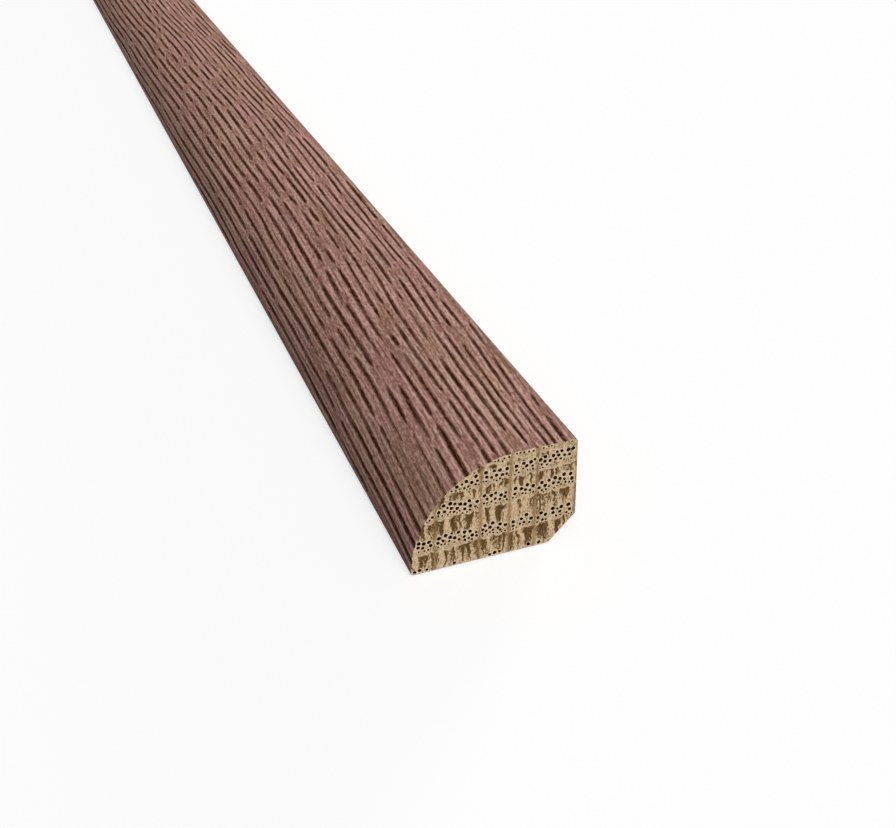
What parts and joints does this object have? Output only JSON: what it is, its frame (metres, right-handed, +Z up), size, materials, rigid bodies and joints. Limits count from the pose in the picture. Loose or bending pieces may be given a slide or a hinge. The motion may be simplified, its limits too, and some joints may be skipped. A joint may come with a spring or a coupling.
{
  "type": "shoe moulding",
  "caption": "Straight length of stained oak trim with a quarter-round face, a flat toe and a bevelled heel, for covering the joint between a baseboard and the floor.",
  "frame": {"origin": "on the wide face, under the middle of the length and of the width", "axes": "+X along the length, +Y from the thin edge of the round towards the narrow square face, +Z up from the wide face that the piece lies on"},
  "size_m": [1.9812, 0.019, 0.0127],
  "materials": {
    "stained_oak": "satin"
  },
  "bodies": {
    "root": {"shoe_moulding": "stained_oak"}
  },
  "joints": []
}
